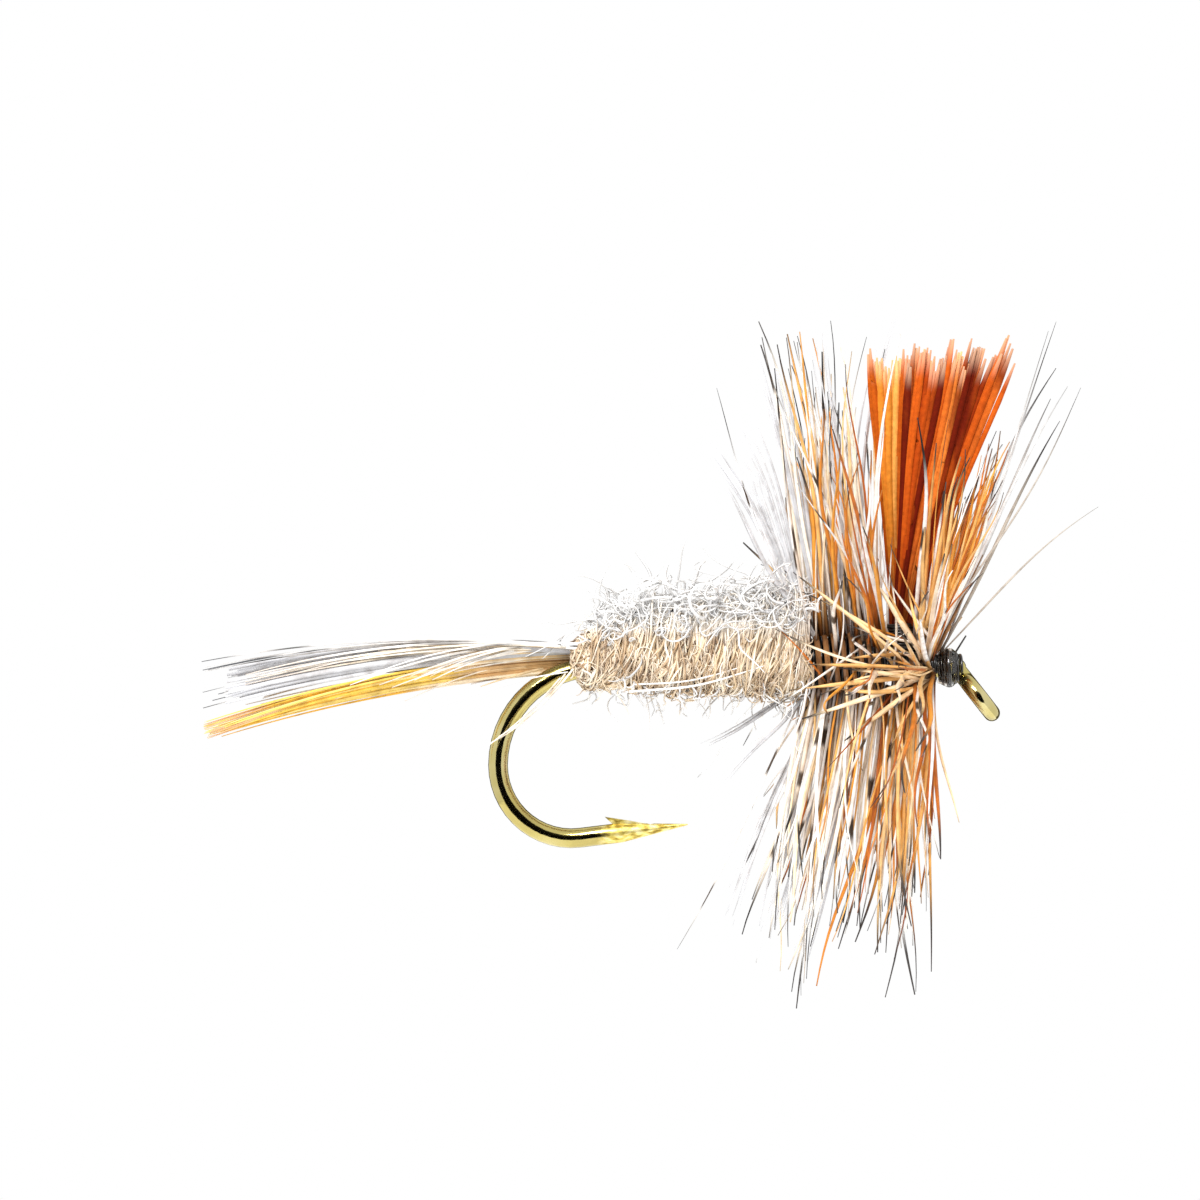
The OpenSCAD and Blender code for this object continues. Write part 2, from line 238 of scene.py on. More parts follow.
def hair_paint(name, palette, shade, back_highlight):
    """Fur: each hair takes its colour from palette by its tone, and is lighter towards its tip.

    shade is the colour of the darker patches, painted shade in the gaps between the hairs, and
    back_highlight is how much the fur along the back is lightened, a painted highlight of the light
    from above.
    """
    paint = Paint(name, Roughness=0.6, Specular_IOR_Level=0.25)
    colour = paint.ramp(paint.attribute("tone"), palette)
    # darker patches: painted shade in the gaps between the hairs
    shade_patches = paint.noise(0.5, detail=3.0)
    colour = paint.mix(0.7, colour, paint.ramp(shade_patches, [(0.32, shade), (0.62, "ffffff")]), "MULTIPLY")
    tip = paint.math("MULTIPLY", paint.attribute("along"), 0.25)
    colour = paint.mix(tip, colour, linear("fffaf0"))
    # lighter along the back: a painted highlight of the light from above
    white = paint.math("MULTIPLY", highlight_from_above(paint), back_highlight)
    colour = paint.mix(white, colour, linear("f8f1e7"))
    paint.colour(colour)
    paint.bump(paint.noise(0.04, detail=2.0), 0.008, 0.4)
    return paint.material


def gold_paint():
    """Polished gold plate on steel wire, rougher at the barb and the point, which get painted glints of
    light.
    """
    paint = Paint("gold_plate", Metallic=1.0, Roughness=0.12)
    tarnish = paint.noise(1.6, detail=5.0)
    colour = paint.ramp(tarnish, [(0.3, "a3945a"), (0.5, "b8aa68"), (0.75, "cfc596")])
    place = paint.add("SeparateXYZ", [(0, paint.add("TexCoord").outputs["Object"])]).outputs
    bend_x, lowest = mounts["bend"][0], hook_low[2]
    forward = paint.spread(place["X"], (bend_x + 0.6) * MM, (bend_x + 1.1) * MM)
    above = paint.spread(place["Z"], (lowest + 1.5) * MM, (lowest + 2) * MM)
    point_and_barb = paint.math("MULTIPLY", forward, paint.math("SUBTRACT", 1.0, above))
    facets = paint.noise(0.12, detail=4.0, stretch=(2, 1, 1))
    # painted glints: light caught on the point and the barb
    painted_glints = paint.ramp(facets, [(0.35, "8a6c14"), (0.5, "e6cf6a"), (0.65, "fff3b8")])
    paint.colour(paint.mix(paint.math("MULTIPLY", point_and_barb, 0.8), colour, painted_glints))
    marks = paint.noise(0.09, detail=3.0, stretch=(6, 1, 1))
    plain = paint.spread(marks, -1.2, 7.0)
    paint.rough(paint.math("ADD", plain, paint.math("MULTIPLY", point_and_barb, 0.36)))
    cut_marks = paint.math("MULTIPLY", point_and_barb, paint.math("MULTIPLY", facets, 6.0))
    paint.bump(paint.math("ADD", marks, cut_marks), 0.006, 0.4)
    return paint.material


def thread_paint():
    """Black waxed nylon thread with a slight sheen along its filaments."""
    paint = Paint("black_thread", Roughness=0.28, Specular_IOR_Level=0.6,
                  Coat_Weight=0.5, Coat_Roughness=0.08)
    filaments = paint.noise(0.05, detail=3.0, stretch=(1, 4, 4))
    paint.colour(paint.ramp(filaments, [(0.3, "060506"), (0.7, "1d1917")]))
    paint.bump(filaments, 0.01, 0.6)
    return paint.material


def varnish_paint():
    """Clear hard varnish, a little uneven."""
    paint = Paint("clear_varnish", Roughness=0.05, Transmission_Weight=1.0, IOR=1.48)
    flow = paint.noise(0.3, detail=2.0)
    paint.colour(paint.ramp(flow, [(0.3, "efeae0"), (0.7, "ffffff")]))
    paint.bump(flow, 0.03, 0.5)
    return paint.material


def quill_paint():
    """Brown feather quill, paler and darker along its length."""
    paint = Paint("quill", Roughness=0.35, Specular_IOR_Level=0.5)
    paint.colour(paint.ramp(paint.noise(0.5, detail=4.0), [(0.3, "4a2c16"), (0.7, "9a6a3c")]))
    paint.bump(paint.noise(0.06), 0.01, 0.5)
    return paint.material


def core_paint():
    """Packed fur below the loose fibres: tan with painted shade in its hollows, and a painted highlight
    of the light from above along the back.
    """
    paint = Paint("packed_fur", Roughness=0.8, Specular_IOR_Level=0.2)
    clumps = paint.noise(0.28, detail=5.0, stretch=(1, 2.5, 2.5))
    # darkest where the bumps are lowest: painted shade in the hollows
    colour = paint.ramp(clumps, [(0.36, "4a3420"), (0.47, "94744a"), (0.6, "c8ac7e")])
    # whiter along the back: a painted highlight of the light from above
    paint.colour(paint.mix(paint.math("MULTIPLY", highlight_from_above(paint), 0.9), colour, linear("f3ebe0")))
    paint.bump(clumps, 0.08, 0.8)
    return paint.material


def floor_paint():
    paint = Paint("pale_floor", Roughness=0.9, Specular_IOR_Level=0.1)
    grain = paint.noise(4.0, detail=2.0)
    paint.colour(paint.ramp(grain, [(0.3, "f4f4f3"), (0.7, "fafaf9")]))
    return paint.material


def card_paint(dark, light):
    paint = Paint("card", Roughness=1.0, Specular_IOR_Level=0.0)
    grain = paint.noise(4.0, detail=2.0)
    paint.colour(paint.ramp(grain, [(0.3, dark), (0.7, light)]))
    return paint.material


GOLD = gold_paint()
THREAD = thread_paint()
VARNISH = varnish_paint()
QUILL = quill_paint()
CORE = core_paint()
GINGER = barb_paint(
    "ginger_barbs",
    [(0.0, "fbe6c4"), (0.2, "f2c684"), (0.45, "e89c34"),
     (0.7, "d07424"), (0.88, "a4521e"), (1.0, "5a2e14")],
    tip="322b28", tip_from=0.76, brown_root_and_shade=0.85)
GRIZZLY = barb_paint(
    "grizzly_barbs", [(0.0, "ffffff"), (0.5, "f6ece0"), (1.0, "d8bc9a")],
    tip="17130f", tip_from=0.72, bars=("46382c", 2.0, 0.15), brown_root_and_shade=0.75)
CREAM = barb_paint(
    "cream_barbs", [(0.0, "ffffff"), (0.5, "fffaf0"), (1.0, "f8e4c6")],
    tip="3c3836", tip_from=0.86, brown_root_and_shade=0.6)
WEB = barb_paint(
    "web_barbs", [(0.0, "d9d9db"), (1.0, "bcbcbf")], tip="cdcdd0", tip_from=0.8, roughness=0.7)
SMOKE = barb_paint(
    "smoky_barbs", [(0.0, "e4e4e4"), (0.5, "cfccc8"), (1.0, "b4a898")],
    tip="2a2624", tip_from=0.66, brown_root_and_shade=0.4)
TAIL_GOLD = barb_paint(
    "golden_tail_barbs", [(0.0, "fff0b8"), (0.5, "fcd860"), (1.0, "eeb238")],
    tip="ecc090", tip_from=0.97,
    butt=[(0.0, "fbecd2"), (0.4, "f0d0a0"), (0.7, "cf9e64"), (0.86, "6a4426"), (1.0, "1e1410")])
TAIL_GRIZZLY = barb_paint(
    "grizzly_tail_barbs", [(0.0, "ffffff"), (0.5, "f4f4f4"), (1.0, "dcd8d4")],
    tip="4a4a4c", tip_from=0.93, bars=("1c1a1a", 1.6, 0.1), brown_root_and_shade=0.25)
TAIL_CREAM = barb_paint(
    "cream_tail_barbs", [(0.0, "ffffff"), (0.45, "fff2dc"), (0.8, "eccfa2"), (1.0, "5a3c24")],
    tip="d8ccc0", tip_from=0.85, bars=("2a1d14", 0.8, 0.08), brown_root_and_shade=0.2)
FUR = hair_paint(
    "cream_fur", [(0.0, "fff9ec"), (0.4, "f8e6cb"), (0.72, "e8cea4"), (0.9, "b8946a"), (1.0, "6a4c30")],
    shade="a88e6c", back_highlight=0.9)
WHITE_FUR = hair_paint(
    "white_fur", [(0.0, "f4f4f4"), (0.5, "e2e2e3"), (1.0, "c8c8ca")], shade="f6f6f6", back_highlight=0.0)


def wing_paint(name, palette, streak, base):
    """Dyed wing slip: each barb has its tone, with darker streaks, a dark root and a paler edge."""
    paint = Paint(name, Roughness=0.85, Specular_IOR_Level=0.08)
    along = paint.attribute("along")
    own = paint.attribute("own")
    colour = paint.ramp(paint.attribute("tone"), palette)
    blotch = paint.noise(0.8, detail=4.0, stretch=(1, 1, 5))
    mask = paint.math("ADD", paint.math("MULTIPLY", blotch, 0.7), paint.math("MULTIPLY", own, 0.42))
    colour = paint.mix(paint.spread(mask, 0.46, 0.7), colour, linear(streak))
    fine = paint.noise(0.12, detail=3.0)
    colour = paint.mix(0.5, colour, paint.ramp(fine, [(0.3, "b8aaa2"), (0.7, "ffffff")]), "MULTIPLY")
    root = paint.math("SUBTRACT", 1.0, paint.spread(along, 0.02, 0.42))
    colour = paint.mix(paint.math("MULTIPLY", root, 0.8), colour, linear(base))
    edge = paint.spread(along, 0.9, 1.0)
    colour = paint.mix(paint.math("MULTIPLY", edge, 0.45), colour, linear("f6c9a4"))
    paint.colour(colour)
    paint.bump(fine, 0.02, 0.5)
    return paint.material


WING_NEAR = wing_paint(
    "wing_near_barbs", [(0.0, "e27c30"), (0.5, "c85814"), (1.0, "ac400a")],
    streak="661602", base="3c0d02")
WING_FAR = wing_paint(
    "wing_far_barbs", [(0.0, "f8b45c"), (0.5, "ea9636"), (1.0, "d87a20")],
    streak="ba5410", base="701f06")


# ---------------------------------------------------------------- meshes

def unit(v):
    return v / np.maximum(np.linalg.norm(v, axis=-1, keepdims=True), 1e-9)


def smooth(t):
    t = np.clip(t, 0.0, 1.0)
    return t * t * (3 - 2 * t)


def new_mesh(name, points, faces, material, attributes=None):
    """Object from points in millimetres and a list of arrays of equal-sided faces."""
    mesh = bpy.data.meshes.new(name)
    mesh.vertices.add(len(points))
    mesh.vertices.foreach_set("co", (np.asarray(points) * MM).astype(np.float32).ravel())
    corners = np.concatenate([f.ravel() for f in faces])
    sizes = np.concatenate([np.full(len(f), f.shape[1]) for f in faces])
    starts = np.concatenate([[0], np.cumsum(sizes)[:-1]])
    mesh.loops.add(len(corners))
    mesh.loops.foreach_set("vertex_index", corners.astype(np.int32))
    mesh.polygons.add(len(sizes))
    mesh.polygons.foreach_set("loop_start", starts.astype(np.int32))
    mesh.polygons.foreach_set("use_smooth", np.ones(len(sizes), bool))
    mesh.update(calc_edges=True)
    for key, values in (attributes or {}).items():
        layer = mesh.attributes.new(key, "FLOAT", "POINT")
        layer.data.foreach_set("value", np.asarray(values, np.float32).ravel())
    mesh.materials.append(material)
    made = bpy.data.objects.new(name, mesh)
    bpy.context.scene.collection.objects.link(made)
    return made


def fibres(name, paths, radii, material, tone=None, sides=4, flat=1.0, face=None, own=None):
    """One closed tube for each path.

    paths is fibres x points x 3, and radii is fibres x points. flat squashes a tube towards the
    direction face. Each fibre gets tone and own, and each point along, for the material.
    """
    paths = np.asarray(paths, float)
    count, steps, _ = paths.shape
    radii = np.broadcast_to(radii, (count, steps))
    tone = rng.random(count) if tone is None else np.asarray(tone, float)
    own = rng.random(count) if own is None else np.asarray(own, float)
    if face is None:
        face = rng.normal(size=(count, 1, 3))
    tangent = unit(np.gradient(paths, axis=1))
    across = unit(np.cross(tangent, np.broadcast_to(face, paths.shape)))
    thick = np.cross(tangent, across)
    angle = 2 * np.pi * (np.arange(sides) + 0.5) / sides
    ring = (np.cos(angle)[:, None] * across[:, :, None, :]
            + flat * np.sin(angle)[:, None] * thick[:, :, None, :])
    points = paths[:, :, None, :] + radii[:, :, None, None] * ring
    index = np.arange(count * steps * sides).reshape(count, steps, sides)
    turned = np.roll(index, -1, axis=2)
    walls = np.stack([index[:, :-1], turned[:, :-1], turned[:, 1:], index[:, 1:]], axis=-1)
    walls = walls.reshape(-1, 4)
    ends = np.concatenate([index[:, 0, ::-1], index[:, -1]])
    along = np.broadcast_to(np.linspace(0, 1, steps)[None, :, None], (count, steps, sides))
    return new_mesh(name, points.reshape(-1, 3), [walls, ends], material, {
        "along": along,
        "tone": np.broadcast_to(tone[:, None, None], (count, steps, sides)),
        "own": np.broadcast_to(own[:, None, None], (count, steps, sides)),
    })


def tapered(count, steps, root, middle, tip):
    """Radii that go from root to middle and then down to tip."""
    s = np.linspace(0, 1, steps)
    profile = np.where(s < 0.4, root + (middle - root) * smooth(s / 0.4),
                       middle + (tip - middle) * ((s - 0.4) / 0.6) ** 1.4)
    return np.broadcast_to(profile, (count, steps)) * rng.uniform(0.8, 1.2, (count, 1))


def place(piece, slot, *nodes):
    """Rides on the fly and stands for CAD nodes, which it hides. slot is not used."""
    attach(piece, "root")
    if nodes:
        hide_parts(*nodes)
    return piece


def keep_node(node, material):
    """A CAD node whose shape stays gets its finish."""
    mesh = frame["nodes"][node].data
    mesh.materials.clear()
    mesh.materials.append(material)


# ---------------------------------------------------------------- body

CAP = 0.38  # how far the loose dubbing reaches over the tail's root


def body_share(x):
    """Share of the body's length from the tail, at x."""
    return np.clip((x - BODY_BACK) / (BODY_FRONT - BODY_BACK), 0, 1)


def body_radius(x, angle):
    """Radius of the wound dubbing at x and at an angle round the shank.

    It has a helical furrow between the turns, a higher crest along the back and closed-in ends.
    """
    t = body_share(x)
    swell = BODY_R * (0.47 + 0.35 * t ** 0.8)
    furrow = np.cos(np.pi * 9 * t - angle / 2) ** 6 * smooth(t / 0.2)
    ends = 0.34 * smooth((BODY_BACK - x) / CAP) + 0.12 * smooth((t - 0.94) / 0.06)
    crest = 0.4 * smooth((np.sin(angle) - 0.2) / 0.8) * smooth((t + 0.05) / 0.35)
    return swell + crest - (0.13 - 0.08 * t) * furrow - ends


def round_body(x, angle, radius):
    """Point round the body's axis, which rises slightly towards the hackle."""
    axis_z = LASHING_Z + 0.1 + 0.19 * body_share(x)
    return np.stack([x, -radius * np.cos(angle), axis_z + radius * np.sin(angle)], axis=-1)


def body_core():
    rows, columns = 140, 72
    x = np.linspace(BODY_BACK - CAP, BODY_FRONT, rows)[:, None]
    angle = np.linspace(0, 2 * np.pi, columns, endpoint=False)[None, :]
    inside = smooth(body_share(x) / 0.2)
    lumps = 0.04 * np.sin(11 * angle + 3.1 * x) * np.sin(5.3 * x)
    radius = body_radius(x, angle) - 0.05 - inside * (0.05 - lumps)
    points = round_body(np.broadcast_to(x, radius.shape), np.broadcast_to(angle, radius.shape), radius)
    index = np.arange(rows * columns).reshape(rows, columns)
    turned = np.roll(index, -1, axis=1)
    walls = np.stack([index[:-1], index[1:], turned[1:], turned[:-1]], axis=-1).reshape(-1, 4)
    ends = np.stack([index[0], index[-1, ::-1]])
    return new_mesh("dubbing_core", points.reshape(-1, 3), [walls, ends], CORE)


def wound_hairs(name, count, x_range, lift, thickness, sweep, curl):
    """Cream hairs that wind round the body.

    lift is how far their middles stand off it, sweep is the range of angles that they go round it,
    and curl is the size of their loops.
    """
    steps = 15
    s = np.linspace(0, 1, steps)[None, :]
    x = rng.uniform(*x_range, (count, 1))
    angle = rng.uniform(0, 2 * np.pi, (count, 1))
    turn = rng.uniform(*sweep, (count, 1)) * rng.choice([1, 1, -1], (count, 1))
    slant = rng.normal(0.14, 0.23, (count, 1))
    bend = rng.normal(0, 0.12, (count, 1))
    loop = rng.gamma(1.5, curl, (count, 1))
    phase = 2 * np.pi * (rng.uniform(0.5, 1.6, (count, 1)) * s + rng.random((count, 1)))
    angles = angle + turn * (s - 0.5) + loop * np.sin(phase)
    xs = x + slant * turn * (s - 0.5) + bend * (s - 0.5) ** 2 * 4 + loop * np.cos(phase)
    front_end = BODY_FRONT + rng.uniform(-0.12, 0.3, (count, 1))
    xs = np.minimum(BODY_BACK - CAP + np.abs(xs - BODY_BACK + CAP), front_end)
    height = rng.gamma(2.0, lift / 2, (count, 1))
    one_end = rng.random((count, 1)) < 0.3
    arch = np.where(one_end, s ** 2 * 1.6, np.sin(np.pi * s))
    radius = body_radius(xs, angles) - 0.05 + height * arch
    radii = tapered(count, steps, thickness * 0.8, thickness, thickness * 0.35)
    piece = fibres(name, round_body(xs, angles, radius), radii, FUR, sides=3)
    return place(piece, "cream_fur")


def stray_hairs(name, count, angles, length, curl, thickness, material, slot, node=None, loops=0.06):
    """Hairs that leave the body between two angles round it.

    curl is how far they bend for their length, and loops is the size of the loops along them.
    """
    steps = 20
    s = np.linspace(0, 1, steps)[None, :, None]
    x = rng.uniform(BODY_BACK + 0.1, BODY_FRONT, count)
    angle = rng.uniform(*angles, count)
    foot = round_body(x, angle, body_radius(x, angle) - 0.1)
    out = unit(np.stack([rng.normal(-0.25, 0.5, count), -np.cos(angle), np.sin(angle)], axis=-1)
               + rng.normal(0, 0.35, (count, 3)))
    side = unit(np.cross(out, rng.normal(size=(count, 3))))
    over = np.cross(out, side)
    reach = rng.uniform(*length, (count, 1, 1))
    bow = rng.normal(0, curl, (count, 1, 1)) * reach
    size = rng.gamma(2.0, loops / 2, (count, 1, 1)) * np.minimum(s * 3, 1)
    phase = 2 * np.pi * rng.uniform(0.8, 2.0, (count, 1, 1)) * s
    paths = (foot[:, None, :] + out[:, None, :] * reach * (s - 0.25 * curl * s ** 2)
             + side[:, None, :] * (bow * s ** 2 + size * np.sin(phase))
             + over[:, None, :] * (0.4 * bow * s ** 3 + size * np.cos(phase)))
    radii = tapered(count, steps, thickness, thickness, thickness * 0.4)
    piece = fibres(name, paths, radii, material, sides=3)
    return place(piece, slot, *([node] if node else []))


def make_body():
    place(body_core(), "cream_fur", "dubbed_body")
    stretches, hairs = 6, 400  # hairs is for a stretch of the body's greatest radius
    edges = np.linspace(BODY_BACK - CAP, BODY_FRONT, stretches + 1)
    for i in range(stretches):
        share = body_radius((edges[i] + edges[i + 1]) / 2, 0.0) / BODY_R
        wound_hairs(f"dubbing_fibres_{i + 1}", int(hairs * share), (edges[i], edges[i + 1]),
                    lift=0.06, thickness=0.034, sweep=(1.0, 2.8), curl=0.03)
    wound_hairs("dubbing_loose_fibres", 200, (BODY_BACK, BODY_FRONT),
                lift=0.2, thickness=0.026, sweep=(0.8, 2.8), curl=0.08)
    wound_hairs("rear_dubbing_loops", 130, (BODY_BACK - CAP, BODY_BACK + 0.7),
                lift=0.1, thickness=0.036, sweep=(0.6, 2.0), curl=0.07)
    up = np.pi / 2
    stray_hairs("stray_cream_hairs", 170, (0, 2 * np.pi), length=(0.25, 0.8), curl=0.35,
                thickness=0.017, material=FUR, slot="cream_fur")
    stray_hairs("top_fuzz", 340, (up - 1.0, up + 1.0), length=(0.35, 1.4), curl=0.8,
                thickness=0.028, material=WHITE_FUR, slot="white_fur", node="guard_hairs", loops=0.15)
    stray_hairs("guard_curls", 44, (up - 0.7, up + 0.7), length=(1.0, 1.9), curl=0.5,
                thickness=0.055, material=WHITE_FUR, slot="white_fur", loops=0.22)
    stray_hairs("belly_wisps", 70, (-up - 0.9, -up + 0.9), length=(0.4, 1.3), curl=0.6,
                thickness=0.028, material=WHITE_FUR, slot="white_fur")


# ---------------------------------------------------------------- tail

def tail_bundle(name, count, seats, tips_z, tips_y, lift, short, thickness, material, slot, node=None,
                flat=1.0, seat_r=0.42, tone=(0, 1)):
    """Barbs that leave the shank between two seat angles and end between two heights and two sides.

    lift holds the heights of the lowest and the highest barb's crown, short is the least and the most
    that the barbs stop before the end of the tail, and seat_r is how far from the shank they start.
    """
    steps = 18
    s = np.linspace(0, 1, steps)[None, :, None]
    share = rng.random(count)
    seat = np.radians(seats[0] + (seats[1] - seats[0]) * share)
    root = np.stack([np.full(count, TAIL_ROOT_X), seat_r * np.cos(seat),
                     LASHING_Z + seat_r * np.sin(seat)], -1)
    tip = np.stack([
        TAIL_TIP_X + short[0] + (short[1] - short[0]) * rng.random(count) ** 2,
        tips_y[0] + (tips_y[1] - tips_y[0]) * share + rng.normal(0, 0.1, count),
        tips_z[0] + (tips_z[1] - tips_z[0]) * share + rng.normal(0, 0.07, count)], -1)
    crown = (root + tip) / 2
    crown[:, 2] = lift[0] + (lift[1] - lift[0]) * share + rng.normal(0, 0.06, count)
    paths = ((1 - s) ** 2 * root[:, None] + 2 * s * (1 - s) * crown[:, None] + s ** 2 * tip[:, None])
    inside = np.linspace(1.4, 0, 4)[None, :-1, None] * np.array([1.0, 0, 0])
    paths = np.concatenate([root[:, None] + inside, paths], axis=1)
    radii = tapered(count, paths.shape[1], thickness, thickness, thickness * 0.3)
    piece = fibres(name, paths, radii, material, tone=rng.uniform(*tone, count), flat=flat, face=FACING)
    place(piece, slot, *([node] if node else []))


def make_tail():
    tail_bundle("golden_tail", 50, seats=(-25, 45), tips_z=(-0.94, -0.7), tips_y=(0.3, -0.7),
                lift=(0.4, 1.0), short=(0.15, 0.9), thickness=0.05,
                material=TAIL_GOLD, slot="golden_barbs", node="tail_ginger_fibres")
    tail_bundle("grizzly_tail", 14, seats=(50, 130), tips_z=(-0.2, 0.8), tips_y=(0.7, -0.7),
                lift=(1.05, 1.85), short=(0.1, 0.8), thickness=0.036, seat_r=0.55,
                material=TAIL_GRIZZLY, slot="grizzly_barbs", node="tail_grizzly_fibres")
    tail_bundle("cream_tail", 34, seats=(20, 140), tips_z=(-0.2, 0.7), tips_y=(0.2, -0.9),
                lift=(0.85, 1.75), short=(1.2, 6.0), thickness=0.042, seat_r=0.52, tone=(0, 0.5),
                material=TAIL_CREAM, slot="cream_barbs", node="tail_cream_fibres")
    tail_bundle("cream_tail_butts", 40, seats=(-10, 120), tips_z=(0.2, 1.35), tips_y=(0.5, -0.5),
                lift=(0.6, 1.4), short=(4.5, 7.5), thickness=0.05, seat_r=0.46,
                material=TAIL_CREAM, slot="cream_barbs")
    tail_bundle("web_tail", 26, seats=(60, 120), tips_z=(-0.05, 0.7), tips_y=(-0.65, -0.2),
                lift=(1.1, 1.75), short=(0.7, 1.6), thickness=0.15, flat=0.15,
                material=WEB, slot="grizzly_barbs")


def long_hair(name, start, end, sag, thickness, material, slot, count=1, apart=0.0):
    """Hairs of the fur that hang from start to end, with their middles sag above the straight line.

    apart is how far each hair starts in front of the one before.
    """
    steps = 24
    s = np.linspace(0, 1, steps)[:, None]
    paths = []
    for i in range(count):
        shift = np.array([apart * i, 0, apart * 0.4 * i]) + rng.normal(0, 0.04, 3)
        first, last = np.array(start) + shift, np.array(end) + 1.5 * shift
        middle = (first + last) / 2 + np.array([0, 0, 2 * sag * rng.uniform(0.7, 1.2)])
        curve = (1 - s) ** 2 * first + 2 * s * (1 - s) * middle + s ** 2 * last
        paths.append(curve + 0.02 * np.sin(s * 9 + i) * np.array([1, 0.5, 1]))
    radii = tapered(count, steps, thickness, thickness, thickness * 0.4)
    place(fibres(name, np.array(paths), radii, material, tone=rng.uniform(0, 0.3, count)), slot)


def make_long_hairs():
    """Single hairs: over the bend of the hook, behind it, and along the belly."""
    rear, below = BODY_BACK - 0.3, LASHING_Z - 0.15
    long_hair("bend_hairs", (rear, -0.5, below), (rear - 1.9, -0.75, below - 1.75),
              sag=-0.22, thickness=0.03, material=FUR, slot="cream_fur", count=3, apart=-0.2)
    long_hair("drooping_hair", (rear - 0.2, -0.3, below), (rear - 5.2, -0.6, below - 1.55),
              sag=0.22, thickness=0.02, material=WHITE_FUR, slot="white_fur")
    long_hair("belly_hair", (BODY_BACK + 1.1, -0.75, LASHING_Z - 0.6),
              (BODY_FRONT - 1.0, -1.0, LASHING_Z + 0.1),
              sag=-0.15, thickness=0.026, material=WHITE_FUR, slot="white_fur", count=2, apart=0.1)


# ---------------------------------------------------------------- wing

def wing_slip(name, side, back, front, height, ragged, material, node):
    """Married barbs that fan from the root.

    side is 1 for the far slip and -1 for the near one, back and front are how far the edges lean at
    the top, and ragged is how uneven the top is.
    """
    count = 54
    steps = 16
    s = np.linspace(0, 1, steps)[None, :]
    share = (np.arange(count) + rng.uniform(-0.3, 0.3, count)) / (count - 1)
    top = back + (front - back) * share
    root_x = WING_X - 0.22 + 0.44 * share
    tuft = np.sin(share * 23 + side) * 0.5 + np.sin(share * 57 + 2 * side) * 0.35
    length = height + ragged * (tuft - 0.4) + rng.normal(0, 0.1, count)
    x = root_x[:, None] + (top[:, None] - root_x[:, None] + WING_X) * (s ** 1.12)
    x = x + 0.05 * np.sin(s * 5 + share[:, None] * 9)
    z = WING_ROOT_Z + (length[:, None]) * s
    splay = math.tan(math.radians(WING_SPLIT / 2))
    depth = side * (0.13 + splay * s * length[:, None])
    y = depth + rng.normal(0, 0.03, (count, 1)) * s + 0.02 * np.sin(6 * s + 11 * share[:, None])
    paths = np.stack([x, y, z], axis=-1)
    gap = (front - back) / count
    width = 0.06 + (gap * 1.25 - 0.01) * s
    width = width * (1 - 0.7 * smooth((s - 0.88) / 0.12)) * rng.uniform(0.85, 1.25, (count, 1))
    band = 0.5 + 0.28 * np.sin(share * 11 + side) + 0.2 * np.sin(share * 29 + 4 * side)
    tone = np.clip(band + rng.normal(0, 0.1, count), 0, 1)
    dark = 0.5 + 0.35 * np.sin(share * 17 + 2) + 0.15 * np.sin(share * 41)
    own = np.clip(dark + rng.normal(0, 0.1, count), 0, 1)
    piece = fibres(name, paths, width, material, tone=tone, own=own, flat=0.4, face=FACING)
    place(piece, "wing_orange", node)


def make_wing():
    rise = WING_TOP - WING_ROOT_Z
    wing_slip("far_wing_slip", 1, back=-0.75, front=1.9, height=rise - 0.15, ragged=0.3,
              material=WING_FAR, node="wing_far")
    wing_slip("near_wing_slip", -1, back=0.25, front=2.85, height=rise + 0.1, ragged=0.5,
              material=WING_NEAR, node="wing_near")


# ---------------------------------------------------------------- hackle

TURNS = 6
REAR_SHARE = 2 / 3  # share of the turns that lie behind the wing
BEHIND_WING, BEFORE_WING = 0.44, 0.45  # from the wing's middle to the nearest turns
QUILL_GAP = 0.09  # from the thread to the middle of a quill


def wind(t, start):
    """x, radius, height of the axis and angle of a quill at turn t, where start is its first angle."""
    rear = REAR_SHARE * TURNS
    wing_back, wing_front = WING_X - BEHIND_WING, WING_X + BEFORE_WING
    end = HEAD_BACK - 0.1
    x = np.where(t < rear, HACKLE_BACK + (wing_back - HACKLE_BACK) * t / rear,
                 wing_front + (end - wing_front) * (t - rear) / (TURNS - rear))
    crossed = smooth((t - rear) * 2)
    radius = (THORAX_R + QUILL_GAP) * (1 - crossed) + (FRONT_R + QUILL_GAP) * crossed
    axis_z = THORAX_Z * (1 - crossed) + SHANK_Z * crossed
    return x, radius, axis_z, np.radians(start) + 2 * np.pi * t


def barb_roots(count, start, turns):
    """Turn, place on the quill and outward direction of each barb: fewer of them point to the sides."""
    t = np.sort(rng.uniform(*turns, count))
    x, radius, axis_z, angle = wind(t, start)
    angle = angle + 0.34 * np.sin(2 * angle) + rng.normal(0, 0.1, count)
    out = np.stack([np.zeros(count), np.cos(angle), np.sin(angle)], axis=-1)
    low = smooth(-2.0 * out[:, 2] + 0.2)
    below_wing = np.where(np.abs(x - WING_X) < 0.8, WING_X - x, 0)
    x = x + (0.1 + 0.2 * low) * rng.normal(0, 1, count) + low * 0.6 * below_wing
    x = np.minimum(x, HEAD_BACK - 0.1)
    root = np.stack([x, np.zeros(count), axis_z], axis=-1) + radius[:, None] * out
    return t, root, out


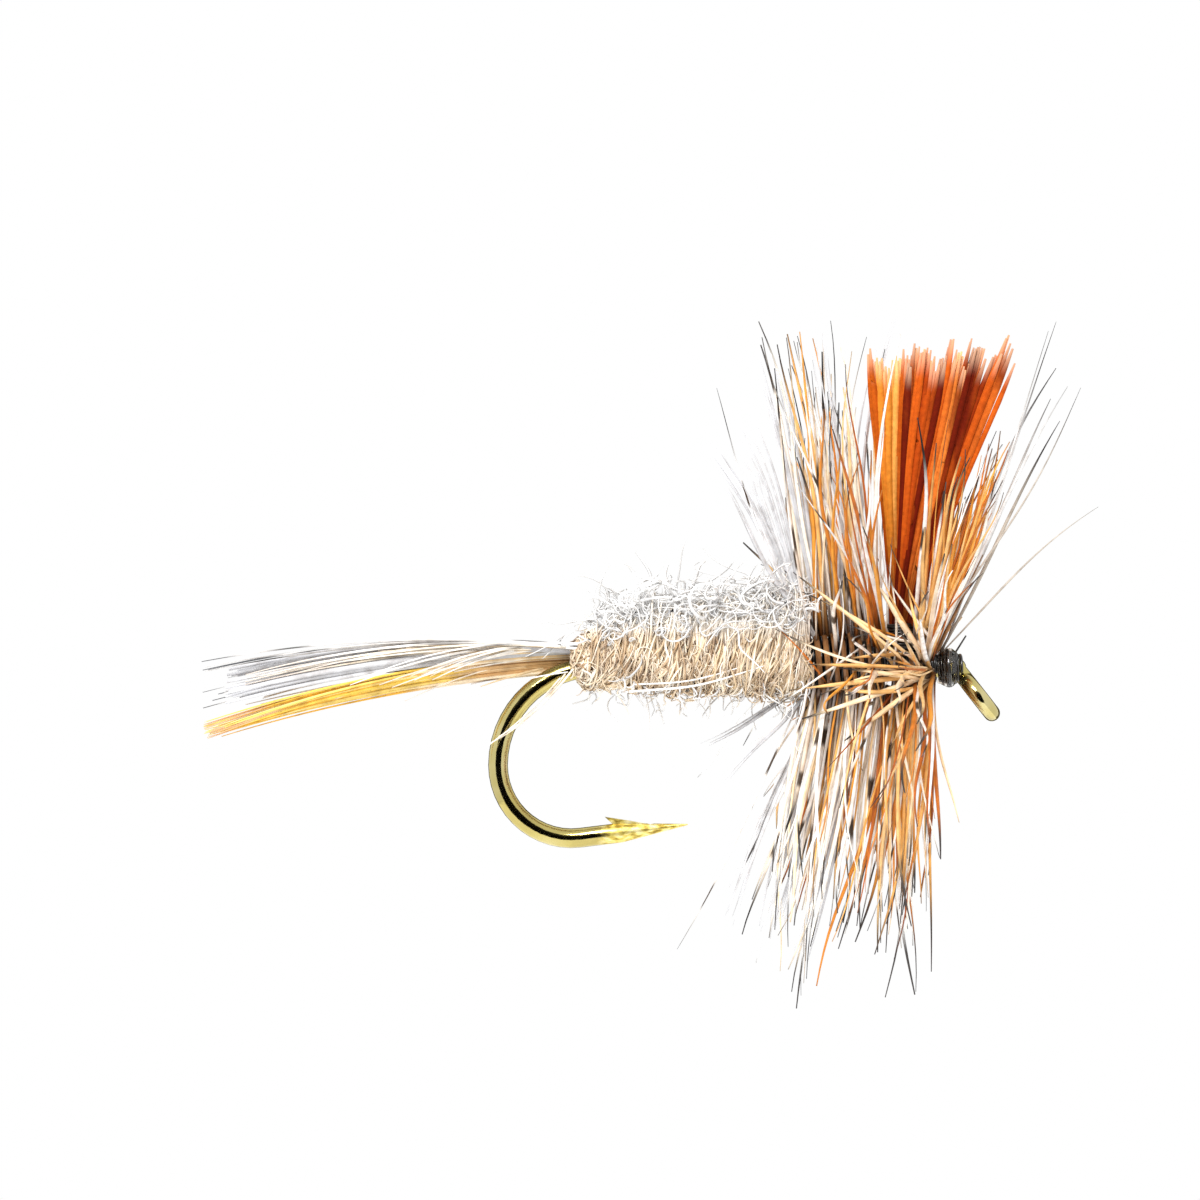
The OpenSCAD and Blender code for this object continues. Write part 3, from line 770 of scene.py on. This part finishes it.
def barb_lean(t, root, out, spread):
    """How far each barb leans forwards for its length: back behind the wing, forwards before it.

    A larger spread scatters them more, and throws some far out of line.
    """
    count = len(t)
    up = smooth((out[:, 2] - 0.1) / 0.6)
    level = np.exp(-(out[:, 2] / 0.4) ** 2)
    front = t > REAR_SHARE * TURNS
    share = np.clip((root[:, 0] - HACKLE_BACK) / (HEAD_BACK - HACKLE_BACK), 0, 1)
    lean_up = np.where(front, 0.11 + 0.22 * (share - 0.8) / 0.2, -0.105 + 0.07 * share)
    lean_down = -0.2 + 0.19 * share
    lean = lean_down + (lean_up - lean_down) * up
    lean = lean + (0.045 * spread + 0.12 * level) * rng.normal(0, 1, count)
    wild = rng.random(count) < 0.1 * (spread - 0.7)
    rake = np.where(front, 1, -1) * rng.uniform(0.12, 0.35, count)
    keep = np.where(front, up, 1.0)
    lean = lean + np.where(wild, rake * keep, 0)
    return np.where(up > 0.5, lean, np.minimum(lean, 0.02 - 0.1 * level + 0.3 * up))


def hackle_barbs(name, count, start, material, slot, thickness, turns, length=(0.58, 1.05), node=None,
                 tone=(0, 1), spread=1.0):
    """Barbs of a feather between two of its turns.

    Most of those low at the rear of the near side are left out, and those before the wing are shorter.
    length is the least and the most of BARB_LENGTH, and spread is for barb_lean.
    """
    steps = 18
    s = np.linspace(0, 1, steps)[None, :, None]
    t, root, out = barb_roots(count, start, turns)
    near = (out[:, 1] < 0) & (np.abs(out[:, 2]) < 0.75)
    bare = near & (root[:, 0] < HACKLE_BACK + 1.5) & (rng.random(count) < 0.82)
    t, root, out = t[~bare], root[~bare], out[~bare]
    count = len(t)
    lean = barb_lean(t, root, out, spread)
    low = smooth(-2.0 * out[:, 2])[:, None, None]
    reach = BARB_LENGTH * rng.uniform(*length, (count, 1, 1))
    reach = reach * (1 - 0.2 * low * rng.random((count, 1, 1)))
    before_wing = (t > REAR_SHARE * TURNS) & (out[:, 2] > 0.3)
    reach = reach * np.where(before_wing, 0.78, 1.0)[:, None, None]
    around = np.cross(out, np.array([1.0, 0, 0]))
    bow_x = rng.normal(0, 0.05, (count, 1, 1)) * reach
    bow_side = rng.normal(0, 0.08, (count, 1, 1)) * reach
    phase = rng.uniform(2, 8, (count, 1, 1)) * s + rng.uniform(0, 6, (count, 1, 1))
    wave = 0.028 * reach * np.sin(phase)
    forward = np.array([1.0, 0, 0])
    direction = unit(out + lean[:, None] * forward)
    paths = (root[:, None] + direction[:, None] * reach * s + forward * (bow_x * s ** 2 + wave * s)
             + around[:, None] * bow_side * s ** 2)
    width = thickness * rng.uniform(0.55, 1.25, (count, 1))
    radii = tapered(count, steps, 0.9, 1.0, 0.26) * width
    piece = fibres(name, paths, radii, material, tone=rng.uniform(*tone, count), flat=0.6)
    return place(piece, slot, *([node] if node else []))


def make_hackle():
    """Both feathers turn by turn. The ginger barbs range into darker tones towards the head."""
    ginger_start, grizzly_start = -100, 80
    ginger_tones = ((0.0, 0.5), (0.0, 0.7), (0.0, 0.85), (0.05, 0.9), (0.08, 0.9), (0.08, 0.9))
    for i in range(TURNS):
        front = i >= REAR_SHARE * TURNS
        turns = (i, i + 1)
        hackle_barbs(f"ginger_hackle_{i + 1}", 78 if front else 30, ginger_start, GINGER,
                     "ginger_barbs", thickness=0.064, turns=turns, tone=ginger_tones[i], spread=0.7,
                     length=(0.58, 1.0), node="ginger_hackle_barbs" if i == 0 else None)
        hackle_barbs(f"grizzly_hackle_{i + 1}", 13 if front else 20, grizzly_start, GRIZZLY,
                     "grizzly_barbs", thickness=0.054, turns=turns,
                     node="grizzly_hackle_barbs" if i == 0 else None)
        hackle_barbs(f"cream_hackle_{i + 1}", 16 if front else 26, grizzly_start + 90, CREAM,
                     "cream_barbs", thickness=0.066, turns=turns)


def free_barbs(name, lays, material, slot, strands=1, bow=0.05):
    """Single long barbs on the collar.

    Each lay is (share of the collar from its back, degrees towards the near side, degrees it leans
    forwards from upright, length, radius). strands is how many thin ones lie side by side in each,
    some degrees apart.
    """
    steps = 20
    s = np.linspace(0, 1, steps)[:, None]
    paths, radii = [], []
    apart = 1.3 if strands > 1 else 0.0
    for share, aside, lean, length, radius in np.repeat(np.array(lays, float), strands, axis=0):
        if len(paths) % strands == 0:
            bend, waves, start = rng.normal(0, bow), rng.uniform(3, 7), rng.uniform(0, 6)
        x = HACKLE_BACK + (HEAD_BACK - HACKLE_BACK) * share
        lean, aside = np.radians([lean, aside] + apart * rng.normal(0, 1, 2))
        length = length * (1 - 0.1 * apart * rng.random())
        away = np.array([math.sin(lean), -math.sin(aside) * math.cos(lean),
                         math.cos(aside) * math.cos(lean)])
        foot = np.array([x, 0, SHANK_Z]) + np.array([0, away[1], away[2]]) * 0.5
        across = unit(np.cross(away, FACING))
        curve = across * length * (bend * s ** 2 + 0.015 * np.sin(waves * s + start))
        paths.append(foot + away * length * s + curve)
        radii.append(tapered(1, steps, radius * 0.7, radius, radius * 0.15)[0])
    return place(fibres(name, np.array(paths), np.array(radii), material, flat=0.5, face=FACING), slot)


def make_free_barbs():
    free_barbs("web_hackle_upper", [
        (0.05, -15, -14, 6.4, 0.06), (0.0, -10, -22, 6.2, 0.07), (0.1, -30, -5, 8.6, 0.06),
        (0.2, 15, -2, 8.7, 0.05), (0.05, 20, -28, 5.2, 0.06), (0.3, -12, 1, 9.0, 0.045),
        (0.12, 8, -9, 8.2, 0.055), (0.0, -40, -17, 6.8, 0.06),
    ], WEB, "grizzly_barbs", strands=5, bow=0.1)
    free_barbs("web_hackle_lower", [
        (0.05, 170, -21, 6.0, 0.06), (0.1, 190, -14, 7.0, 0.065), (0.0, 165, -38, 3.6, 0.05),
        (0.2, 200, -10, 7.0, 0.06), (0.1, 185, -24, 6.6, 0.055), (0.3, 175, -5, 7.4, 0.06),
        (0.0, 195, -52, 3.4, 0.045),
    ], WEB, "grizzly_barbs", strands=5, bow=0.1)
    free_barbs("forward_barbs", [
        (0.97, 5, 24, 8.6, 0.045), (1.0, -6, 23, 8.9, 0.04), (0.95, 10, 23, 7.6, 0.06),
        (1.0, 0, 28, 6.6, 0.07), (0.96, -12, 25, 7.2, 0.07), (0.98, 14, 29, 7.8, 0.04),
        (1.0, 16, 40, 5.6, 0.035), (0.93, -8, 20, 7.9, 0.065),
    ], SMOKE, "cream_barbs")
    free_barbs("rearward_barbs", [
        (0.0, 12, -24, 7.2, 0.035), (0.0, 172, -27, 7.6, 0.035), (0.05, 176, -34, 3.6, 0.03),
    ], GRIZZLY, "grizzly_barbs")


def make_crossing_barbs():
    """Bent barbs that lie across the sides of the collar."""
    for name, material, slot, tones in (("crossing_ginger", GINGER, "ginger_barbs", (0.1, 0.9)),
                                        ("crossing_cream", CREAM, "cream_barbs", (0.3, 1.0))):
        count, steps = 18, 16
        s = np.linspace(0, 1, steps)[None, :, None]
        side = rng.choice([-1, 1], count)
        tilt = rng.uniform(-1.2, 1.2, count)
        out = np.stack([np.zeros(count), side * np.cos(tilt), np.sin(tilt)], axis=-1)
        foot_x = HEAD_BACK - (HEAD_BACK - HACKLE_BACK) * rng.random(count) ** 1.4
        foot = np.stack([foot_x, np.zeros(count), np.full(count, THORAX_Z)], -1)
        foot = foot + out * rng.uniform(THORAX_R, THORAX_R + 0.3, (count, 1))
        clear_of_head = 0.6 * (HEAD_BACK - foot[:, 0] - 0.8)
        lie_x = np.minimum(rng.normal(-0.25, 0.5, count), clear_of_head)
        lie = unit(out * 0.45 + np.stack([lie_x, np.zeros(count), rng.normal(0, 0.9, count)], -1))
        reach = rng.uniform(1.5, 3.6, (count, 1, 1))
        turn = np.cross(lie, out)[:, None] * rng.normal(0, 0.18, (count, 1, 1)) * reach
        paths = foot[:, None] + lie[:, None] * reach * s + turn * s ** 2
        radii = tapered(count, steps, 0.9, 1.0, 0.2) * 0.055 * rng.uniform(0.5, 1.2, (count, 1))
        place(fibres(name, paths, radii, material, tone=rng.uniform(*tones, count), flat=0.6), slot)


def make_collar_strays():
    """Pale barbs tied down at the head, which lie back across the near side of the collar.

    Each lay is (degrees it rises, length, thickness).
    """
    lays = [(-19, 3.6, 0.062), (-6, 3.7, 0.055), (2, 3.2, 0.05), (16, 4.2, 0.055), (33, 4.0, 0.04),
            (39, 4.6, 0.055), (58, 3.2, 0.05), (-36, 2.8, 0.05), (8, 2.4, 0.05), (-1, 2.8, 0.05),
            (-12, 3.0, 0.045), (74, 2.4, 0.05), (-62, 2.6, 0.04)]
    steps = 16
    s = np.linspace(0, 1, steps)[:, None]
    paths, radii = [], []
    for angle, length, thickness in lays:
        a = math.radians(angle)
        root = np.array([HEAD_BACK - 0.1, -0.32, SHANK_Z - 0.25 + rng.normal(0, 0.12)])
        away = np.array([-math.cos(a), 0, math.sin(a)])
        off_side = 0.85 * np.sin(np.pi * np.minimum(s * 1.1, 1)) ** 0.8 + 0.9 * s
        bulge = np.array([0, -1.0, 0]) * off_side
        curve = np.array([math.sin(a), 0, math.cos(a)]) * rng.normal(0, 0.25) * s * (1 - s) * 2
        paths.append(root + away * length * s + bulge + curve)
        radii.append(tapered(1, steps, thickness * 1.2, thickness * 1.6, thickness * 0.3)[0])
    piece = fibres("collar_stray_barbs", np.array(paths), np.array(radii), GINGER, flat=0.6,
                   tone=rng.uniform(0, 0.3, len(lays)))
    place(piece, "cream_barbs", "collar_strays")


# ---------------------------------------------------------------- thread and head

def thread_coil(name, start, end, centre, radius_at, node=None, pitch=2 * THREAD_R, axis="x"):
    """Thread wound from start to end, touching turn to turn unless pitch is wider.

    Its axis runs along x at the height centre, or along z with centre as its x. radius_at gives the
    outer radius at a share of the length.
    """
    turns = abs(end - start) / pitch
    per_turn, wander = 22, 0.012
    steps = int(turns * per_turn)
    t = np.linspace(0, 1, steps)
    angle = 2 * np.pi * turns * t
    drift = wander * np.sin(angle * 0.37) + wander * np.sin(angle * 1.31 + 1)
    radius = radius_at(t) - THREAD_R + 0.5 * drift
    along = start + (end - start) * t + drift
    if axis == "x":
        path = np.stack([along, radius * np.cos(angle), centre + radius * np.sin(angle)], axis=-1)
    else:
        path = np.stack([centre + radius * np.cos(angle), radius * np.sin(angle), along], axis=-1)
    piece = fibres(name, path[None], np.full((1, steps), THREAD_R * 1.05), THREAD, sides=6,
                   face=np.array([1.0, 0, 0]) if axis == "x" else np.array([0, 0, 1.0]))
    return place(piece, "black_thread", *([node] if node else []))


def head_profile(t):
    """Radius of the thread head at a share of its length: fullest in its middle."""
    return HEAD_R * (0.74 + 0.26 * np.sin(np.pi * smooth(t * 0.9 + 0.05)))


def make_thread():
    """The turns of thread that show: on the head, under the hackle and round the wing's roots."""
    thread_coil("head_thread", HEAD_BACK, HEAD_FRONT, SHANK_Z,
                lambda t: head_profile(t) - 0.02, "head_wraps")
    thread_coil("head_cross_wraps", HEAD_BACK + 0.03, HEAD_FRONT - 0.06, SHANK_Z,
                lambda t: head_profile(0.05 + 0.9 * t), pitch=0.16)
    thread_coil("thorax_thread", thorax_low[0], thorax_high[0], THORAX_Z,
                lambda t: np.full_like(t, THORAX_R), "thorax_wraps")
    thread_coil("collar_thread", front_low[0], front_high[0], SHANK_Z,
                lambda t: np.full_like(t, FRONT_R), "front_wraps")
    base_r = (base_high[2] - base_low[2]) / 2
    thread_coil("wing_seat_thread", thorax_high[0], front_low[0], SHANK_Z,
                lambda t: np.full_like(t, base_r + 0.05))
    reach = (wraps_high[0] - wraps_low[0]) / 2
    thread_coil("wing_root_thread", wraps_low[2] - 0.15, wraps_high[2] + 0.25, WING_X,
                lambda t: np.full_like(t, reach), "wing_base_wraps", axis="z")


# ---------------------------------------------------------------- stage

FILL_LIGHT = 1.15
KEY_LIGHT = 3.4
VIEW_FROM_EYE = np.array([-9.63, 0, 2.46])  # middle of the view, from the hook's eye
VIEW_WIDTH, VIEW_DISTANCE = 30.48, 1000.0  # so far off that the view is almost parallel
FLOOR_DROP, FLOOR_HALF = 6.0, 22.0


def make_stage():
    """A white world, a floor, two cards that only reflections see, a soft sun and the camera."""
    scene = bpy.context.scene
    scene.view_settings.view_transform = "Standard"
    world = bpy.data.worlds.new("soft_box")
    world.use_nodes = True
    background = world.node_tree.nodes["Background"]
    background.inputs["Color"].default_value = (1, 1, 1, 1)
    rays = world.node_tree.nodes.new("ShaderNodeLightPath")
    strength = world.node_tree.nodes.new("ShaderNodeMapRange")
    strength.inputs["To Min"].default_value = FILL_LIGHT
    strength.inputs["To Max"].default_value = 1.0
    world.node_tree.links.new(rays.outputs["Is Camera Ray"], strength.inputs["Value"])
    world.node_tree.links.new(strength.outputs["Result"], background.inputs["Strength"])
    scene.world = world

    low, high = (np.array(c) / MM for c in cad_box)
    middle = (low + high) / 2
    floor_z = low[2] - FLOOR_DROP
    corners = [[middle[0] + x * FLOOR_HALF, middle[1] + y * FLOOR_HALF, floor_z]
               for x, y in ((-1, -1), (1, -1), (1, 1), (-1, 1))]
    new_mesh("floor", np.array(corners), [np.array([[0, 1, 2, 3]])], floor_paint())

    for name, card_y, card_half, paint in (("dark_card", -90.0, 58.0, card_paint("050505", "0c0a08")),
                                           ("olive_card", 90.0, 80.0, card_paint("3a3620", "4a452c"))):
        corners = [[middle[0] + x * card_half, card_y, middle[2] + z * card_half]
                   for x, z in ((-1, -1), (-1, 1), (1, 1), (1, -1))]
        card = new_mesh(name, np.array(corners), [np.array([[0, 1, 2, 3]])], paint)
        card.visible_camera = False
        card.visible_diffuse = False
        card.visible_shadow = False
        card.visible_transmission = False

    sun = bpy.data.objects.new("key_light", bpy.data.lights.new("key_light", "SUN"))
    sun.data.energy = KEY_LIGHT
    sun.data.angle = math.radians(25)
    sun.rotation_euler = (math.radians(48), math.radians(-18), 0)
    scene.collection.objects.link(sun)

    camera = bpy.data.objects.new("camera", bpy.data.cameras.new("camera"))
    camera.data.sensor_width = 36
    camera.data.lens = camera.data.sensor_width * VIEW_DISTANCE / VIEW_WIDTH
    camera.data.clip_start = 0.01
    camera.data.clip_end = 10
    camera.location = (mounts["eye"] + VIEW_FROM_EYE - [0, VIEW_DISTANCE, 0]) * MM
    camera.rotation_euler = (math.pi / 2, 0, 0)
    scene.collection.objects.link(camera)
    scene.camera = camera


make_stage()
keep_node("hook", GOLD)
keep_node("head_cement", VARNISH)
for hidden in ("thread_base", "tail_lashing", "thread_tag"):
    keep_node(hidden, THREAD)
for quill in ("hackle_butts", "ginger_hackle_stem", "grizzly_hackle_stem", "hackle_tips"):
    keep_node(quill, QUILL)
make_body()
make_tail()
make_long_hairs()
make_wing()
make_hackle()
make_free_barbs()
make_crossing_barbs()
make_collar_strays()
make_thread()
